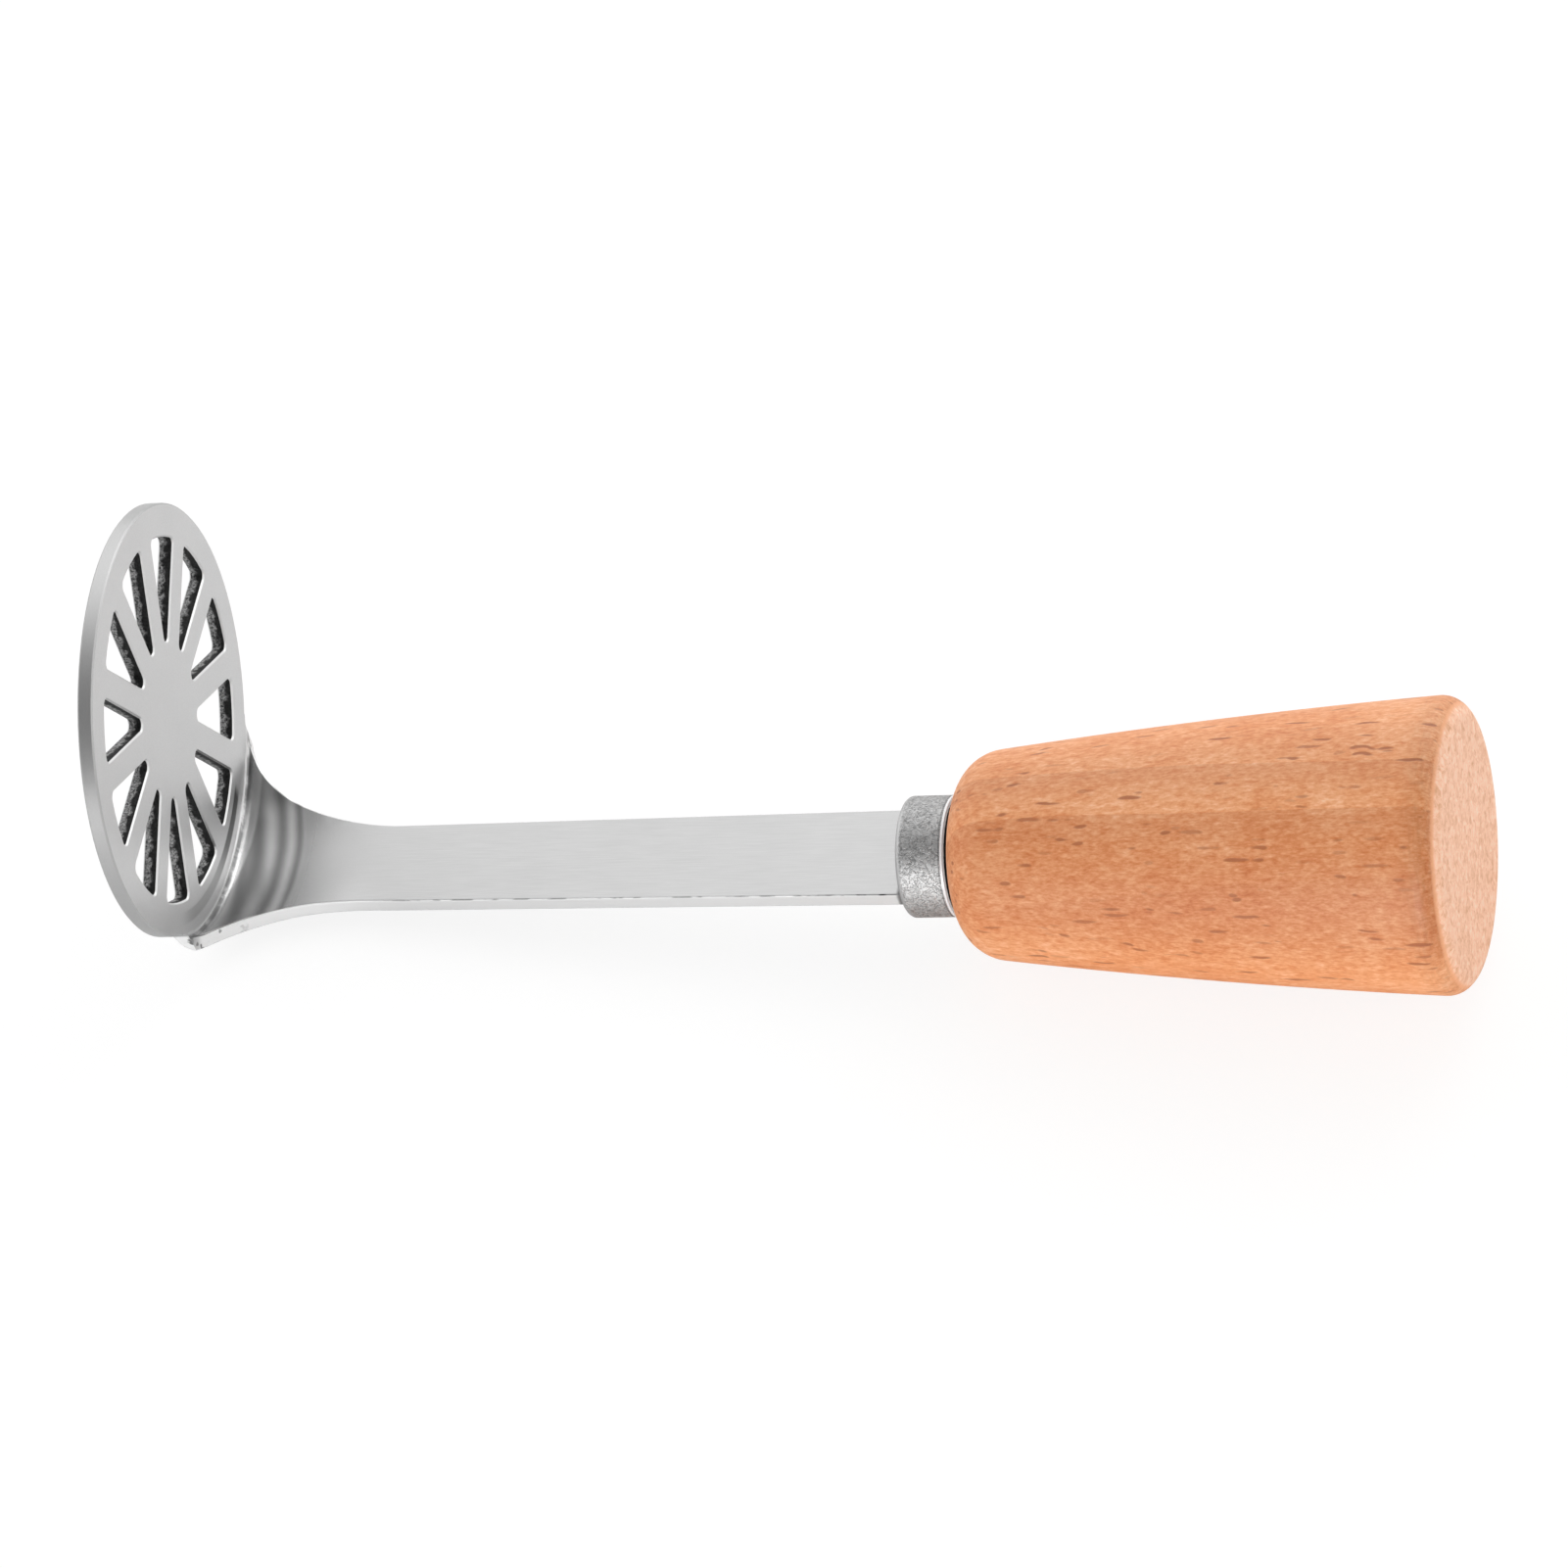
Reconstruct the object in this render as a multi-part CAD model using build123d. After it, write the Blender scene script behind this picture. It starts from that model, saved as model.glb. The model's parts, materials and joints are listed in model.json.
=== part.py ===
from build123d import *
import math
import os

# Potato masher: a round slotted plate and a flat shank pressed from one steel sheet,
# a metal ferrule, and a turned beech handle glued onto the blade's tang.
#
# Every piece is drawn with the masher standing on its plate. Z is the plate's axis and
# counts up from its underside, and +X points from the plate's centre to the shank. At the
# end the pieces are laid down together, as the masher rests on a table: on the heel of its
# neck and on the belly of its handle, with the plate upright and the handle along +X.
# Lengths are in millimetres and angles in degrees.

os.makedirs("parts", exist_ok=True)

# Steel sheet and the plate pressed from it
sheet = 2.4
plate_radius = 32.5
plate_rim_width = 5.05
slot_count = 12
spoke_width = 4.6
slot_corner_radius = 1.0
edge_break = 0.25

# Neck: the wall that rises from the plate's rim along an arc and flattens into the shank
crease_radius = 1.2
flare_spread = 14.5
flare_margin = 1.16
flank_slant = 0.56
flare_corner_radius = 3.0
root_fillet_radius = 2.5
waist_height = 27.4
round_wall_height = 13.4
flat_wall_rise = 2.0
flattening_shares = (0.0, 0.2, 0.4, 0.6, 0.8, 1.0)

# Shank and the tang that it narrows to inside the handle
waist_width = 15.1
shank_top_width = 16.9
tang_width = 8.0
tang_length = 48.0
tang_tip_chamfer = 2.0

# Ferrule: a cup that closes the joint between shank and handle
ferrule_height = 109.6
ferrule_length = 7.9
ferrule_radius = 9.1
ferrule_wall = 1.1
ferrule_face = 2.0
ferrule_front_round = 1.0
ferrule_rim_chamfer = 0.5
shank_slot_clearance = 0.1

# Handle: turned beech with a tenon inside the ferrule and a drilled bore for the tang
seam_gap = 0.3
tenon_clearance = 0.05
handle_length = 77.1
handle_small_radius = 14.9
handle_big_radius = 22.3
handle_belly = 0.68
shoulder_round = 7.4
butt_round = 3.6
bore_radius = 5.0
bore_depth = 52.0
drill_point_angle = 118.0
bond_line = 0.05

# One overrun for every cut and every hidden overlap
overrun = 1.0

# Places that follow from the sizes above
half_pitch = 180 / slot_count
slot_outer_radius = plate_radius - plate_rim_width
wall_radius = plate_radius + crease_radius
wall_outer_radius = wall_radius + sheet
flat_wall_height = waist_height + flat_wall_rise
flare_foot = waist_width / 2 + flare_spread
root_half_width = flare_foot - flare_margin
root_half_angle = math.degrees(math.asin(root_half_width / plate_radius))
axis_offset = wall_radius + sheet / 2
shoulder_height = ferrule_height + ferrule_face
tang_top = shoulder_height + tang_length
handle_foot = ferrule_height + ferrule_length + seam_gap
handle_top = handle_foot + handle_length
tenon_radius = ferrule_radius - ferrule_wall - tenon_clearance


def slot_outline():
    """One slot with its middle on +X: two sides parallel to the spokes and an outer arc."""
    half_spoke = spoke_width / 2
    apex = (half_spoke / math.sin(math.radians(half_pitch)), 0)
    half_angle = half_pitch - math.degrees(math.asin(half_spoke / slot_outer_radius))
    outer = CenterArc((0, 0), slot_outer_radius, -half_angle, 2 * half_angle)
    outline = make_face([Line(apex, outer @ 0), outer, Line(outer @ 1, apex)])
    return fillet(outline.vertices(), slot_corner_radius)


def plate():
    """The round plate, with a spoke on the shank's side and broken edges all round."""
    slots = PolarLocations(0, slot_count, half_pitch) * slot_outline()
    disc = extrude(Circle(plate_radius) - slots, sheet)
    faces = disc.edges().group_by(Axis.Z)
    return chamfer(faces[0] + faces[-1], edge_break)


def root_plan():
    """The plan view of the neck's root: the plate's circle with a rounded tongue on +X.

    The tongue is a little narrower than the foot of the flare, and narrows to its tip.
    """
    reach = wall_outer_radius + edge_break
    tip_half_angle = math.degrees(math.asin((root_half_width - flank_slant) / reach))
    rim = CenterArc((0, 0), plate_radius, -root_half_angle, 2 * root_half_angle)
    tip = CenterArc((0, 0), reach, -tip_half_angle, 2 * tip_half_angle)
    corners = [(0, 0), rim @ 0, tip @ 0, tip @ 1, rim @ 1]
    flanks = Polyline(corners[0], corners[1], corners[2]), Polyline(corners[3], corners[4], corners[0])
    tongue = make_face([flanks[0], tip, flanks[1]])
    outer = [vertex for vertex in tongue.vertices() if Vector(vertex).length > plate_radius + edge_break]
    plan = Circle(plate_radius) + fillet(outer, flare_corner_radius)
    inner = [vertex for vertex in plan.vertices() if abs(abs(vertex.Y) - (rim @ 1).Y) < edge_break]
    return fillet(inner, root_fillet_radius)


def bent_ring():
    """The sheet's section from the plate through the crease into the wall, turned about Z.

    The turn goes a little past the tongue on both sides, and the tongue's plan trims it.
    """
    turn = 2 * root_half_angle + half_pitch
    ring_inner = (slot_outer_radius + plate_radius) / 2
    bend_centre = wall_radius - crease_radius
    bend_top = sheet + crease_radius
    under = Line((ring_inner, 0), (bend_centre, 0))
    heel = CenterArc((bend_centre, bend_top), bend_top, -90, 90)
    outside = Line(heel @ 1, (wall_outer_radius, round_wall_height))
    top = Line(outside @ 1, (wall_radius, round_wall_height))
    inside = Line(top @ 1, (wall_radius, bend_top))
    crease = CenterArc((bend_centre, bend_top), crease_radius, 0, -90)
    over = Line(crease @ 1, (ring_inner, sheet))
    closing = Line(over @ 1, under @ 0)
    section = make_face([under, heel, outside, top, inside, crease, over, closing])
    ring = revolve(Plane.XZ * section, Axis.Z, turn)
    return Rot(Z=-turn / 2) * ring & extrude(root_plan(), round_wall_height)


def wall_section(share):
    """A level section of the wall where it is this share of its way from round to flat.

    It is drawn wider than the flare, which is cut out of it later.
    """
    height = round_wall_height + share * (flat_wall_height - round_wall_height)
    easing = share * share * (3 - 2 * share)
    half_width = waist_width
    sagitta = (1 - easing) * (wall_radius - math.sqrt(wall_radius**2 - half_width**2))
    if sagitta:
        inner_radius = (sagitta**2 + half_width**2) / (2 * sagitta)
        outer_radius = inner_radius + sheet
        outer_sagitta = outer_radius - math.sqrt(outer_radius**2 - half_width**2)
        inner = ThreePointArc(
            (wall_radius - sagitta, -half_width), (wall_radius, 0), (wall_radius - sagitta, half_width)
        )
        outer = ThreePointArc(
            (wall_outer_radius - outer_sagitta, half_width),
            (wall_outer_radius, 0),
            (wall_outer_radius - outer_sagitta, -half_width),
        )
    else:
        inner = Line((wall_radius, -half_width), (wall_radius, half_width))
        outer = Line((wall_outer_radius, half_width), (wall_outer_radius, -half_width))
    ends = [Line(inner @ 1, outer @ 0), Line(outer @ 1, inner @ 0)]
    return Pos(Z=height) * make_face([inner, ends[0], outer, ends[1]])


def front_outline():
    """The blade seen along X above the plate: flared neck, tapered shank, shoulders and tang."""
    rise = waist_height - sheet
    bow = (flare_foot, waist_height)
    flank = EllipticalCenterArc(bow, flare_spread, rise, start_angle=180, arc_size=90)
    shank = Line((waist_width / 2, waist_height), (shank_top_width / 2, shoulder_height))
    shoulder = Line(shank @ 1, (tang_width / 2, shoulder_height))
    tang = Line(shoulder @ 1, (tang_width / 2, tang_top - tang_tip_chamfer))
    tip = Line(tang @ 1, (tang_width / 2 - tang_tip_chamfer, tang_top))
    end = Line(tip @ 1, (0, tang_top))
    middle = Line((0, tang_top), (0, -overrun))
    base = Line((0, -overrun), (flare_foot, -overrun))
    side = Line((flare_foot, -overrun), (flare_foot, sheet))
    half = make_face([flank, shank, shoulder, tang, tip, end, middle, base, side])
    return half + mirror(half, Plane.YZ)


def shank_edges(blade):
    """The four long edges of the flat shank, below the tang's shoulders."""
    boxes = [(edge, edge.bounding_box()) for edge in blade.edges().filter_by(GeomType.LINE)]
    upright = [(edge, box) for edge, box in boxes if box.size.Z > sheet]
    above = [(edge, box) for edge, box in upright if box.min.Z > flat_wall_height - edge_break]
    return [edge for edge, box in above if box.max.Z < shoulder_height + edge_break]


def masher_blade():
    """Plate, neck, shank and tang in one sheet."""
    wall = loft([wall_section(share) for share in flattening_shares])
    strip_height = tang_top - flat_wall_height
    strip_centre = flat_wall_height + strip_height / 2
    strip = Pos(axis_offset, 0, strip_centre) * Box(sheet, 2 * waist_width, strip_height)
    reach = wall_outer_radius + overrun
    front = extrude(Plane.YZ * front_outline(), reach)
    neck = (bent_ring() + wall + strip) & front
    blade = plate() + neck
    return fillet(shank_edges(blade), edge_break)


def ferrule():
    """A round cup with a slot in its face that fits the shank."""
    cup = Cylinder(ferrule_radius, ferrule_length, align=(Align.CENTER, Align.CENTER, Align.MIN))
    rims = cup.edges().filter_by(GeomType.CIRCLE).sort_by(Axis.Z)
    cup = fillet(rims[0], ferrule_front_round)
    cup = chamfer(cup.edges().filter_by(GeomType.CIRCLE).sort_by(Axis.Z)[-1], ferrule_rim_chamfer)
    bore = Cylinder(ferrule_radius - ferrule_wall, ferrule_length, align=(Align.CENTER, Align.CENTER, Align.MIN))
    slot_size = (sheet + 2 * shank_slot_clearance, shank_top_width + 2 * shank_slot_clearance)
    slot = Box(*slot_size, 2 * ferrule_length)
    cup = cup - Pos(Z=ferrule_face) * bore - slot
    return Pos(axis_offset, 0, ferrule_height) * cup


def drilled_shape(gap):
    """The drilled hole for the tang with the drill's point at its end, smaller by the gap."""
    radius = bore_radius - gap
    point_height = bore_radius / math.tan(math.radians(drill_point_angle / 2)) - gap
    shaft = Cylinder(radius, bore_depth, align=(Align.CENTER, Align.CENTER, Align.MIN))
    point = Cone(radius, 0, point_height, align=(Align.CENTER, Align.CENTER, Align.MIN))
    return Pos(axis_offset, 0, shoulder_height) * (shaft + Pos(Z=bore_depth) * point)


def handle_section():
    """Half of the handle's turned section, outside its axis."""
    tenon = Line((0, shoulder_height), (tenon_radius, shoulder_height))
    tenon_side = Line(tenon @ 1, (tenon_radius, handle_foot))
    face = Line(tenon_side @ 1, (handle_small_radius, handle_foot))
    side = SagittaArc(face @ 1, (handle_big_radius, handle_top), -handle_belly)
    butt = Line(side @ 1, (0, handle_top))
    axis = Line((0, handle_top), (0, shoulder_height))
    section = make_face([tenon, tenon_side, face, side, butt, axis])
    foot_corner = section.vertices().sort_by_distance(Vertex(handle_small_radius, handle_foot, 0))[0]
    section = fillet(foot_corner, shoulder_round)
    top_corner = section.vertices().sort_by_distance(Vertex(handle_big_radius, handle_top, 0))[0]
    return fillet(top_corner, butt_round)


def handle():
    """The turned grip with its tenon and bore."""
    grip = revolve(Plane.XZ * handle_section(), Axis.Z, 360)
    return Pos(axis_offset, 0, 0) * grip - drilled_shape(0)


def tang_epoxy(blade):
    """The adhesive that fills the bore round the tang."""
    return drilled_shape(bond_line) - blade


def rest_tilt():
    """How far the handle's axis rises from the table, from a line that touches both supports.

    The supports are two circles in the XZ plane: the heel of the neck's bend, and the
    rounding at the handle's small end.
    """
    rounding = [
        edge
        for edge in handle_section().edges().filter_by(GeomType.CIRCLE)
        if abs(edge.radius - shoulder_round) < edge_break
    ][0]
    heel_radius = sheet + crease_radius
    heel = Vector(wall_radius - crease_radius, heel_radius)
    belly = Vector(axis_offset, 0) + Vector(rounding.arc_center.X, rounding.arc_center.Y)
    between = belly - heel
    leaning = math.atan2(between.X, between.Y)
    return math.degrees(leaning + math.asin((shoulder_round - heel_radius) / between.length))


pieces = {"masher_blade": masher_blade(), "ferrule": ferrule(), "handle": handle()}
pieces["tang_epoxy"] = tang_epoxy(pieces["masher_blade"])

# Laid down: the shank's side turns to the table, and the handle points along +X
tilt = rest_tilt()
laid = {name: Rot(Y=90 - tilt) * piece for name, piece in pieces.items()}
boxes = [piece.bounding_box() for piece in laid.values()]
low_x = min(box.min.X for box in boxes)
high_x = max(box.max.X for box in boxes)
low_z = min(box.min.Z for box in boxes)
to_origin = Pos(-(low_x + high_x) / 2, 0, -low_z)
for name, piece in laid.items():
    export_step(to_origin * piece, f"parts/{name}.step")

print("rest tilt", round(tilt, 3), "degrees, length", round(high_x - low_x, 2))
print("plate's centre on its underside", (to_origin * Rot(Y=90 - tilt)).position)
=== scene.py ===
"""Looks for a potato masher: brushed and polished steel, tumbled metal, and turned beech."""

import json
import math

import bpy
from bpy.props import FloatProperty, FloatVectorProperty, PointerProperty
from mathutils import Matrix, Vector

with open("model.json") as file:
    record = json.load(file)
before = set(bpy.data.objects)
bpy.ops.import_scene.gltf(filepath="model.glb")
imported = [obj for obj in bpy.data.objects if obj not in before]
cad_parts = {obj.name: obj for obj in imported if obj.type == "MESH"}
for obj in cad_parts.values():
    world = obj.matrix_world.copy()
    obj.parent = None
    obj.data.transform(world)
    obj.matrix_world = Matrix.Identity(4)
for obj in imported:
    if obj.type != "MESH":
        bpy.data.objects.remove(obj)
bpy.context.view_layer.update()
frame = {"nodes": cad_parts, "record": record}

bl_info = {
    "name": "Potato masher finishes",
    "version": (1, 0, 0),
    "blender": (4, 5, 0),
    "location": "3D View > Sidebar > Masher",
    "description": "Dresses a potato masher in steel, tumbled metal and beech, and sets its studio",
    "category": "Object",
}

MM_PER_M = 1000.0

# The masher's own directions in the row frame: up its axis, out to the shank, and across
mounts = {mount["name"]: mount for mount in frame["record"]["mounts"]}
plate_centre = Vector(mounts["mashing_face"]["pos_m"])
butt_centre = Vector(mounts["butt_face"]["pos_m"])
up_axis = -Vector(mounts["mashing_face"]["axis"]).normalized()
across_axis = Vector((0, 1, 0))
out_axis = across_axis.cross(up_axis)

# Where the handle's axis lies out from the plate's centre, and how high its butt, in millimetres
axis_out = (butt_centre - plate_centre).dot(out_axis) * MM_PER_M
butt_height = (butt_centre - plate_centre).dot(up_axis) * MM_PER_M

# Places on the blade in millimetres: heights above the plate's underside, and radii from its centre
SHEET = 2.4
PLATE_RADIUS = 32.5
SLOT_REACH = 28.2
# Radii of the groove and the crease line, and the crease line's top: where painted shade darkens the
# plate
GROOVE_RADII = (29.0, 30.8)
CREASE_RADII = (32.95, 33.45)
CREASE_TOP = 5.0
NICK_HEIGHTS = (3.0, 10.0)
POLISH_HEIGHTS = (12.0, 25.0)
BRUSHING_FOOT = 14.0
BRIGHT_CUT_FOOT = 16.0
DASHES_FOOT = 26.0
BAR_FOOT = 34.0
DASHES_THICKEN = 92.0

# Where the plate's rim turns into the neck, as the cosine of the angle from the shank's side
NECK_SECTOR = (0.72, 0.86)

# Places across the blade in millimetres, negative on the near side
# Where the groove's painted shade begins and ends across the blade
GROOVE_START = (-9.0, 2.0)
GROOVE_END = (9.5, 11.5)
# Where the neck's painted light goes from its darker near side to its lighter far side, and darkens at
# the far edge
NEAR_TO_FAR = (-9.0, 12.0)
FAR_EDGE = (9.0, 12.5)

# Painted highlight: the pale strip stands for light at the neck's foot
# The pale strip at the neck's foot, in millimetres: its top rises over this stretch across the blade,
# from the first height to the second
STRIP_WIDTH = (-14.0, 10.0)
STRIP_TOPS = (2.6, 4.8)

# Places on the ferrule and the handle in millimetres
FERRULE_FOOT = 109.6
FERRULE_TOP = 117.5
FERRULE_RADIUS = 9.1
# Where the rear rim's painted highlight lies, and the painted shade under it and behind it
FERRULE_RIM = (FERRULE_TOP - 0.85, FERRULE_TOP - 0.3)
UNDER_RIM = (FERRULE_TOP - 1.2, FERRULE_TOP - 0.95)
BEHIND_RIM = (FERRULE_TOP - 0.28, FERRULE_TOP - 0.2)
WORN_EDGE_AND_HIGHLIGHT = (FERRULE_FOOT + 0.45, FERRULE_FOOT + 1.0)
HANDLE_FOOT = 117.8
# Where painted shadow darkens the wood round the ferrule: radii from the axis, and heights
SEAT_RADII = (FERRULE_RADIUS + 0.4, FERRULE_RADIUS + 1.0)
SEAT_HEIGHTS = (HANDLE_FOOT + 1.0, HANDLE_FOOT + 2.0)
# Heights where turning scratches and painted shade darken the wood towards the butt
SCORED_AND_SHADED_HEIGHTS = (butt_height - 7.0, butt_height - 2.0)

# Painted reflection bands over the polished neck: the first dark one lies this high, and the next ones
# lie closer together. On the far side they bend down by this much for each square millimetre across.
FIRST_DARK_BAND = 5.75
BAND_HEIGHTS = (2.5, 12.6)
BAND_BEND = 0.012

# The tree's heart beside the handle, one ring's radius and the rings' width, in millimetres, and how
# much the rings lean along the handle and drift
HEART = (-18.0, -70.0, 0.0)
RING_START = 73.1
RING_WIDTH = 7.7
RING_LEAN = (0.0, 0.0, 0.052)
RING_DRIFT = 2.4

# Distances from the heart in millimetres: where the rings show best, and where the painted shade along
# the handle's near side begins and is full
CLEAR_RINGS = (60.0, 74.0)
PAINTED_SHADE_RINGS = (68.0, 57.0)

# Places out from the plate's centre in millimetres, where the handle turns to the table and rings fade,
# as painted light on the underside
RINGS_FADE = (axis_out - 6.0, axis_out + 7.0)

# The rays: cells for each millimetre, drawn out along the wood, and each ray's width as cells count it
RAY_CELLS = 0.75
RAY_STRETCH = (1.0, 1.0, 0.14)
RAY_WIDTH = (0.15, 0.29)

# How squarely the surface faces up the masher, where end grain begins and on the butt's rounded edge,
# where a highlight is painted
END_GRAIN = (0.72, 0.84)
BUTT_EDGE = (0.66, 0.78)

# Colours of painted shade, painted highlights and small marks, as linear red, green, blue and alpha
DARK_SHADE_AND_DASHES = (0.04, 0.04, 0.04, 1.0)
NICK = (0.05, 0.05, 0.05, 1.0)
RIM_SHADE = (0.03, 0.03, 0.03, 1.0)
PAINTED_RIM_HIGHLIGHT = (0.97, 0.98, 1.0, 1.0)
PAINTED_BUTT_EDGE_HIGHLIGHT = (0.96, 0.46, 0.235, 1.0)

# Roughness of each finish
SATIN = 0.38
POLISHED = 0.26
TORN = 0.7
CUT = 0.55
TUMBLED = 0.55
RUBBED = 0.4

# Depth of the relief in metres, and what the torn walls, the groove and the rays multiply it by
STEEL_RELIEF = 0.00002
FERRULE_RELIEF = 0.00004
WOOD_RELIEF = 0.00004
TORN_DEPTH = 14.0
GROOVE_DEPTH = -6.0
RAY_DEPTH = -1.6

# The floor's corners, its glow to the camera and the share of that glow
FLOOR_SIDES = 96
FLOOR_GLOW = 1.08
GLOW_SHARE = 0.8

# How near to the camera's direction the room begins to darken, and where it is darkest, as cosines
DIMMING = (0.2, 0.85)

SENSOR_WIDTH = 36.0
VIEW_END = 100.0

# Softboxes: name, place, aim and width in metres, and the stage's setting with its power
SOFTBOXES = (
    ("front_softbox", (0.05, -0.9, 0.05), (0.03, 0.0, 0.03), 0.3, "front_power"),
    ("side_softbox", (1.2, -0.1, 0.4), (0.05, 0.0, 0.03), 0.7, "side_power"),
    ("back_softbox", (0.3, 1.3, 1.0), (0.0, 0.25, 0.0), 1.2, "back_power"),
)

# Which sockets of Blender's mix node take the share and the two colours or values
COLOUR_SOCKETS = (0, 6, 7)
COLOUR_RESULT = 2
VALUE_SOCKETS = (0, 2, 3)


class Wires:
    """Adds nodes to one shader tree, each call handing back the socket that it puts out."""

    def __init__(self, tree):
        self.tree = tree

    def node(self, kind, **settings):
        made = self.tree.nodes.new(kind)
        for name, value in settings.items():
            setattr(made, name, value)
        return made

    def join(self, source, socket):
        """Feeds a socket from another socket, or sets it to a plain value."""
        if isinstance(source, bpy.types.NodeSocket):
            self.tree.links.new(source, socket)
        else:
            socket.default_value = source

    def feed(self, made, *inputs):
        """Feeds a node's first sockets in order, and hands back its first output."""
        for source, socket in zip(inputs, made.inputs):
            self.join(source, socket)
        return made.outputs[0]

    def feed_named(self, made, **inputs):
        """Feeds a node's sockets by their names, and hands back all its outputs."""
        for name, source in inputs.items():
            self.join(source, made.inputs[name])
        return made.outputs

    def math(self, operation, *inputs):
        return self.feed(self.node("ShaderNodeMath", operation=operation), *inputs)

    def vector(self, operation, *inputs):
        made = self.node("ShaderNodeVectorMath", operation=operation)
        self.feed(made, *inputs)
        return made.outputs["Value" if operation in ("DOT_PRODUCT", "LENGTH") else "Vector"]

    def combine(self, x, y, z):
        return self.feed(self.node("ShaderNodeCombineXYZ"), x, y, z)

    def ramp(self, value, low, high, to_low=0.0, to_high=1.0):
        """A smooth step from one value to another."""
        made = self.node("ShaderNodeMapRange", interpolation_type="SMOOTHSTEP")
        return self.feed(made, value, low, high, to_low, to_high)

    def noise(self, coordinates, scale, detail=2.0, roughness=0.5, distortion=0.0):
        outputs = self.feed_named(
            self.node("ShaderNodeTexNoise"),
            Vector=coordinates, Scale=scale, Detail=detail, Roughness=roughness, Distortion=distortion,
        )
        return outputs["Fac"]

    def cells(self, coordinates, scale):
        """Voronoi cells: the distance to the nearest point, and each cell's random colour."""
        outputs = self.feed_named(self.node("ShaderNodeTexVoronoi"), Vector=coordinates, Scale=scale)
        return outputs["Distance"], outputs["Color"]

    def mix(self, share, first, second, blend="MIX"):
        """Mixes two colours."""
        made = self.node("ShaderNodeMix", data_type="RGBA", blend_type=blend)
        for source, index in zip((share, first, second), COLOUR_SOCKETS):
            self.join(source, made.inputs[index])
        return made.outputs[COLOUR_RESULT]

    def blend(self, share, first, second):
        """Mixes two values."""
        made = self.node("ShaderNodeMix", data_type="FLOAT")
        for source, index in zip((share, first, second), VALUE_SOCKETS):
            self.join(source, made.inputs[index])
        return made.outputs[0]

    def fold(self, operation, first, *others):
        """Joins values one after another by the same operation."""
        for other in others:
            first = self.math(operation, first, other)
        return first

    def product(self, *masks):
        return self.fold("MULTIPLY", *masks)

    def total(self, *values):
        return self.fold("ADD", *values)

    def strongest(self, *masks):
        return self.fold("MAXIMUM", *masks)

    def invert(self, mask):
        return self.math("SUBTRACT", 1.0, mask)

    def swing(self, texture, amount, centre=1.0):
        """A factor that swings about its centre as a texture swings about one half."""
        return self.math("MULTIPLY_ADD", self.math("SUBTRACT", texture, 0.5), amount, centre)

    def shade(self, colour, tone, green=1.0, blue=1.0):
        """A colour times a factor, which acts more strongly where its power is higher."""
        powers = [tone if power == 1.0 else self.math("POWER", tone, power) for power in (green, blue)]
        return self.mix(1.0, colour, self.combine(tone, *powers), "MULTIPLY")

    def bump(self, height, distance, strength):
        outputs = self.feed_named(
            self.node("ShaderNodeBump"), Height=height, Distance=distance, Strength=strength
        )
        return outputs["Normal"]

    def group(self, group, **inputs):
        return self.feed_named(self.node("ShaderNodeGroup", node_tree=group), **inputs)


def new_group(name, inputs, outputs):
    """An empty shader group with its sockets: names with their types and defaults."""
    tree = bpy.data.node_groups.new(name, "ShaderNodeTree")
    for socket, kind, default in inputs:
        made = tree.interface.new_socket(socket, in_out="INPUT", socket_type=kind)
        if default is not None:
            made.default_value = default
    for socket, kind in outputs:
        tree.interface.new_socket(socket, in_out="OUTPUT", socket_type=kind)
    wires = Wires(tree)
    entry = wires.node("NodeGroupInput")
    leaving = wires.node("NodeGroupOutput")
    return tree, wires, entry.outputs, leaving.inputs


def place_group():
    """Where a point lies on the masher, in millimetres, and how its surface faces."""
    names = ("Out", "Across", "Height", "Radius", "Facing Out", "Facing Across", "Facing Up")
    outputs = [("Place", "NodeSocketVector")] + [(name, "NodeSocketFloat") for name in names]
    tree, wires, _, leaving = new_group("Masher place", [], outputs)
    coordinates = wires.node("ShaderNodeTexCoord")
    offset = wires.vector("SUBTRACT", coordinates.outputs["Object"], tuple(plate_centre))
    parts = {}
    for name, axis in (("Out", out_axis), ("Across", across_axis), ("Height", up_axis)):
        along = wires.vector("DOT_PRODUCT", offset, tuple(axis))
        parts[name] = wires.math("MULTIPLY", along, MM_PER_M)
        wires.join(parts[name], leaving[name])
    normal = coordinates.outputs["Normal"]
    for name, axis in (("Facing Out", out_axis), ("Facing Across", across_axis), ("Facing Up", up_axis)):
        wires.join(wires.vector("DOT_PRODUCT", normal, tuple(axis)), leaving[name])
    wires.join(wires.combine(parts["Out"], parts["Across"], parts["Height"]), leaving["Place"])
    level = wires.combine(parts["Out"], parts["Across"], 0.0)
    wires.join(wires.vector("LENGTH", level), leaving["Radius"])
    return tree


def band_group():
    """A soft band: one between its two limits, and zero outside them."""
    tree, wires, entry, leaving = new_group(
        "Soft band",
        [
            ("Value", "NodeSocketFloat", 0.0),
            ("From", "NodeSocketFloat", 0.0),
            ("To", "NodeSocketFloat", 1.0),
            ("Softness", "NodeSocketFloat", 0.1),
        ],
        [("Mask", "NodeSocketFloat")],
    )
    rise_end = wires.math("ADD", entry["From"], entry["Softness"])
    fall_end = wires.math("ADD", entry["To"], entry["Softness"])
    rise = wires.ramp(entry["Value"], entry["From"], rise_end)
    fall = wires.ramp(entry["Value"], entry["To"], fall_end, 1.0, 0.0)
    wires.join(wires.product(rise, fall), leaving["Mask"])
    return tree


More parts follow.
